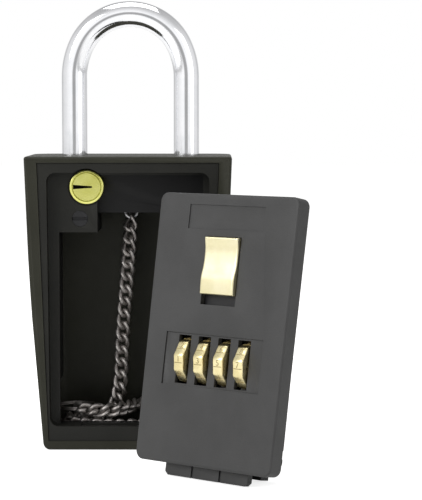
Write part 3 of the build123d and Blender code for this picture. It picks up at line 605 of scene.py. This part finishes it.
# %% From the door's frame to the model's
door_yaw, door_lean = np.radians(-37.4), np.radians(-9.9)
door_turn = np.array(Matrix.Rotation(door_yaw, 3, "Z") @ Matrix.Rotation(door_lean, 3, "X"))
door_place = np.array((26.8, -79.6, 5.169))


def on_door(points):
    """Points (u, b, v) on the flat door, carried to where the door stands."""
    return points @ door_turn.T + door_place


# %% [markdown]
# ## Number dials
# A dial is a ten-sided brass ring, seen edge-on through its window, with a number on each
# flat. The outline's radius at an angle is that of a regular ten-sided polygon, softened at
# its corners by a smooth minimum with a circle, and each flat is dished a little.

# %% Dials
dial_sides, dial_radius, dial_width, dial_pitch = 10, 8.4, 4.0, 8.4
axle_v, axle_depth, bore, first_edge = 35.7, 5.8, 1.38, np.radians(100)
dial_dish, dial_edge, corner_softness, corner_cut = 0.10, 0.35, 90, 0.06
dial_places = (np.arange(4) - 1.5) * dial_pitch


def dial_outline(angle):
    """Polygon radius inradius / cos(turn from the flat's middle), softly cut by a circle."""
    flat = 2 * np.pi / dial_sides
    turn = (angle - first_edge) % flat - flat / 2
    polygon = dial_radius * np.cos(flat / 2) / np.cos(turn)
    dish = dial_dish * np.cos(turn / flat * np.pi) ** 2
    circle = dial_radius - corner_cut
    power = -corner_softness
    return (polygon ** power + circle ** power) ** (1 / power) - dish


def dial_surface(u):
    """Rings across the width: bore, side, bevel, rim, and back, for every angle."""
    angle = ring_of(240)
    rim = dial_outline(angle)
    half, edge = dial_width / 2, dial_edge
    rows = [(-half, bore + 0 * rim), (-half, rim - edge), (-half + edge * 0.3, rim - edge * 0.3),
            (-half + edge, rim), (half - edge, rim), (half - edge * 0.3, rim - edge * 0.3),
            (half, rim - edge), (half, bore + 0 * rim)]
    return np.stack([np.stack([np.full(len(rim), u + across),
                               axle_depth + radius * np.cos(angle),
                               axle_v + radius * np.sin(angle)], -1) for across, radius in rows])


letter_share = 0.72


def digit_mesh(text, size):
    """Points and faces of a plain digit centred at zero, size millimetres tall.

    A digit fills letter_share of its font's size.
    """
    curve = bpy.data.curves.new("digit", "FONT")
    curve.body = text
    curve.align_x, curve.align_y = "CENTER", "CENTER"
    curve.size, curve.extrude, curve.resolution_u = size / letter_share, 0.09, 4
    holder = bpy.data.objects.new("digit", curve)
    bpy.context.scene.collection.objects.link(holder)
    bpy.context.view_layer.update()
    mesh = bpy.data.meshes.new_from_object(
        holder.evaluated_get(bpy.context.evaluated_depsgraph_get()))
    points = np.array([v.co for v in mesh.vertices])
    points[:, :2] -= (points.max(0) + points.min(0))[:2] / 2
    faces = [list(f.vertices) for f in mesh.polygons]
    bpy.data.objects.remove(holder)
    bpy.data.curves.remove(curve)
    bpy.data.meshes.remove(mesh)
    return points, faces


digit_height = 2.0
digits = [digit_mesh(str(k), digit_height) for k in range(10)]
digit_rise, line_half_width, line_half_length = 1.35, 0.13, 1.6


def dial_digits(u, shown):
    """On each flat a digit and, at the flat's middle, a fine line under it.

    Points go across along U, upwards along the flat's tangent, and out along its normal.
    """
    shells = []
    corners = np.array([(x, y, z) for z in (-0.05, 0.05) for x, y in
                        ((-1, -1), (1, -1), (1, 1), (-1, 1))])
    line = corners * (line_half_length, line_half_width, 1)
    line_faces = [[3, 2, 1, 0], [4, 5, 6, 7], [0, 1, 5, 4], [1, 2, 6, 5], [2, 3, 7, 6],
                  [3, 0, 4, 7]]
    for k in range(dial_sides):
        middle = first_edge + (k + 0.5) * 2 * np.pi / dial_sides
        out = np.array((0, np.cos(middle), np.sin(middle)))
        up = np.array((0, np.sin(middle), -np.cos(middle)))
        seat = dial_radius * np.cos(np.pi / dial_sides) - dial_dish
        points, faces = digits[(shown - k) % 10]
        spot = np.array((u, axle_depth, axle_v)) + out * seat
        for flat, part in ((points + (0, digit_rise, 0), faces), (line, line_faces)):
            shells.append((spot + flat @ np.array([(1, 0, 0), up, out]), part))
    return join(shells)


for k, u in enumerate(dial_places, 1):
    mesh = new_mesh(f"brass_dial_{k}", *shell(on_door(dial_surface(u)), wrap_rows=True), 50)
    add_piece(f"brass_dial_{k}", mesh, f"dial_{k}", "dial_brass", dial_brass, f"dial_{k}")
    points, faces = dial_digits(u, 2 * k + 1)
    mesh = new_mesh(f"digits_{k}", on_door(points), faces, 30)
    add_piece(f"digits_{k}", mesh, f"dial_{k}", "dial_brass", digit_paint)

# %% [markdown]
# ## Release slide
# The slide is a brass push piece with a wavy front: its upper end stands up a little, then it
# dips, and its lower part swells into a lip for the finger. It is a height over U and V. Two
# bell curves along V make the end and the lip, the lip's being steeper on its upper side, and
# a quarter circle takes the height down at every edge.

# %% Slide
slide_low, slide_high, slide_half, slide_back = 58.4, 78.0, 7.0, 2.4
slide_edge, edge_drop = 0.6, 0.8
plate_height, end_height, end_reach = 1.0, 0.9, 2.8
lip_height, lip_crest, lip_above, lip_below = 0.95, 63.6, 3.6, 7.5


def slide_surface():
    """Height = plate + end bell + lip bell - edge round; an outer ring goes to the back."""
    edge = slide_edge
    u = slide_half * np.sin(np.linspace(-1, 1, 41) * np.pi / 2)
    v = np.linspace(slide_low, slide_high, 81)
    v_grid, u_grid = np.meshgrid(v, u, indexing="ij")
    reach = np.where(v_grid > lip_crest, lip_above, lip_below)
    height = (plate_height + end_height * np.exp(-((slide_high - v_grid) / end_reach) ** 2)
              + lip_height * np.exp(-((v_grid - lip_crest) / reach) ** 2))
    side = np.clip((np.abs(u_grid) - (slide_half - edge)) / edge, 0, 1)
    ends = np.maximum(slide_low + edge - v_grid, v_grid - (slide_high - edge))
    drop = np.maximum(side, np.clip(ends / edge, 0, 1))
    height -= edge * edge_drop * (1 - np.sqrt(1 - drop ** 2))
    front = np.stack([u_grid, -height, v_grid], -1)
    edge_ring = np.pad(front, ((1, 1), (1, 1), (0, 0)), mode="edge")
    edge_ring[[0, -1], :, 1] = slide_back
    edge_ring[:, [0, -1], 1] = slide_back
    return edge_ring


def closed_cushion(points):
    """A grid whose outer ring lies in the back plane, closed there by one face."""
    rows, cols = points.shape[:2]
    flat, faces = shell(points, wrap_cols=False, caps=False)
    number = np.arange(rows * cols).reshape(rows, cols)
    loop = np.concatenate([number[0, :-1], number[:-1, -1], number[-1, :0:-1], number[:0:-1, 0]])
    return flat, faces + [loop.tolist()]


slide = closed_cushion(slide_surface())
add_piece("brass_slide", new_mesh("brass_slide", on_door(slide[0]), slide[1]), "release",
          "slide_brass", slide_brass, "release_slide")

# %% [markdown]
# ## Floor, light and background
# The floor is plain and pale. Its material and the world add white for rays that come from
# the camera or from a reflection, so the ground reads as white while the object's shadow
# stays. The lamps are large and soft: a key from the left front, a weaker fill from the
# right, and one overhead.

# %% Floor
def white_for_view(tree, shader_socket, seen, mirrored):
    """Adds plain white: seen is its strength for the camera, mirrored that in metal or glass."""
    path = tree.nodes.new("ShaderNodeLightPath")
    glow = tree.nodes.new("ShaderNodeEmission")
    total = tree.nodes.new("ShaderNodeAddShader")
    strength = None
    for ray, amount in (("Is Camera Ray", seen), ("Is Glossy Ray", mirrored),
                        ("Is Transmission Ray", mirrored)):
        node = tree.nodes.new("ShaderNodeMath")
        node.operation = "MULTIPLY_ADD"
        tree.links.new(path.outputs[ray], node.inputs[0])
        node.inputs[1].default_value = amount
        node.inputs[2].default_value = 0.0
        if strength is not None:
            tree.links.new(strength, node.inputs[2])
        strength = node.outputs[0]
    tree.links.new(strength, glow.inputs["Strength"])
    tree.links.new(shader_socket, total.inputs[0])
    tree.links.new(glow.outputs[0], total.inputs[1])
    return total.outputs[0]


floor_material, tree, shader, _ = start_material("floor_white")
shader.inputs["Base Color"].default_value = (0.86, 0.86, 0.85, 1)
shader.inputs["Roughness"].default_value = 0.9
shader.inputs["Specular IOR Level"].default_value = 0.0
output = tree.nodes["Material Output"]
tree.links.new(white_for_view(tree, shader.outputs[0], 0.78, 0.32), output.inputs["Surface"])
size = 3.0
corners = np.array([(-size, -size, 0), (size, -size, 0), (size, size, 0), (-size, size, 0)])
floor_mesh = bpy.data.meshes.new("floor")
floor_mesh.from_pydata((corners + (0, 0, -0.00005)).tolist(), [], [[0, 1, 2, 3]])
floor_mesh.materials.append(floor_material)
floor = bpy.data.objects.new("floor", floor_mesh)
bpy.context.scene.collection.objects.link(floor)
print("floor:", 2 * size, "m wide")


# %% Lamps
def soft_lamp(name, place, aim, width, height, power):
    """A rectangular area lamp at a place, turned to face the point it aims at."""
    data = bpy.data.lights.new(name, "AREA")
    data.shape = "RECTANGLE"
    data.size, data.size_y, data.energy = width, height, power
    lamp = bpy.data.objects.new(name, data)
    lamp.location = place
    lamp.rotation_euler = (Vector(aim) - Vector(place)).to_track_quat("-Z", "Y").to_euler()
    bpy.context.scene.collection.objects.link(lamp)
    return lamp


middle = (0.02, -0.03, 0.07)
soft_lamp("key", (-0.85, -0.75, 0.75), middle, 0.7, 0.7, 9.0)
soft_lamp("fill", (0.95, -0.65, 0.45), middle, 0.6, 0.8, 1.8)
soft_lamp("top", (0.0, 0.1, 1.2), middle, 0.9, 0.9, 6.0)

# %% [markdown]
# Chrome shows nothing but its surroundings, so a plain white room would make it vanish. Real
# pictures of chrome are taken with dark cards in the room. Here the world gives reflections a
# small dark spot in front, which becomes the thin line down the middle of the rod, and a grey
# ring towards the back, which becomes the lines along its edges.

# %% World
def room_for_reflections(tree):
    """Brightness against the direction's -Y part: dark in front, a grey ring, white between."""
    coords = tree.nodes.new("ShaderNodeTexCoord")
    parts = tree.nodes.new("ShaderNodeSeparateXYZ")
    tree.links.new(coords.outputs["Generated"], parts.inputs["Vector"])
    front = spread(tree, parts.outputs["Y"], 1.0, 0.0, -1.0, 1.0)
    shades = tree.nodes.new("ShaderNodeValToRGB")
    stops = [(0.0, 0.90), (0.06, 0.80), (0.10, 0.62), (0.20, 0.60), (0.30, 0.80), (0.48, 0.86),
             (0.62, 0.90), (0.75, 1.0), (0.90, 1.1), (0.975, 1.1), (0.990, 0.48), (1.0, 0.40)]
    marks = shades.color_ramp.elements
    while len(marks) < len(stops):
        marks.new(0.5)
    for mark, (place, shade) in zip(marks, stops):
        mark.position = place
        mark.color = (shade, shade, shade, 1)
    tree.links.new(front, shades.inputs["Fac"])
    overhead = spread(tree, parts.outputs["Z"], 1.0, 0.55, 0.35, 0.95)
    dimmed = tree.nodes.new("ShaderNodeVectorMath")
    dimmed.operation = "SCALE"
    tree.links.new(shades.outputs["Color"], dimmed.inputs[0])
    tree.links.new(overhead, dimmed.inputs["Scale"])
    return dimmed.outputs[0]


world = bpy.data.worlds.new("studio")
bpy.context.scene.world = world
world.use_nodes = True
tree = world.node_tree
background = tree.nodes["Background"]
background.inputs["Color"].default_value = (1, 1, 1, 1)
background.inputs["Strength"].default_value = 0.30
rays = tree.nodes.new("ShaderNodeLightPath")
room = tree.nodes.new("ShaderNodeBackground")
tree.links.new(room_for_reflections(tree), room.inputs["Color"])
room.inputs["Strength"].default_value = 1.0
reflected = tree.nodes.new("ShaderNodeMixShader")
tree.links.new(rays.outputs["Is Glossy Ray"], reflected.inputs["Fac"])
tree.links.new(background.outputs[0], reflected.inputs[1])
tree.links.new(room.outputs[0], reflected.inputs[2])
white = tree.nodes.new("ShaderNodeBackground")
white.inputs["Color"].default_value = (1, 1, 1, 1)
white.inputs["Strength"].default_value = 1.0
seen = tree.nodes.new("ShaderNodeMixShader")
tree.links.new(rays.outputs["Is Camera Ray"], seen.inputs["Fac"])
tree.links.new(reflected.outputs[0], seen.inputs[1])
tree.links.new(white.outputs[0], seen.inputs[2])
tree.links.new(seen.outputs[0], tree.nodes["World Output"].inputs["Surface"])
bpy.context.scene.view_settings.view_transform = "Standard"
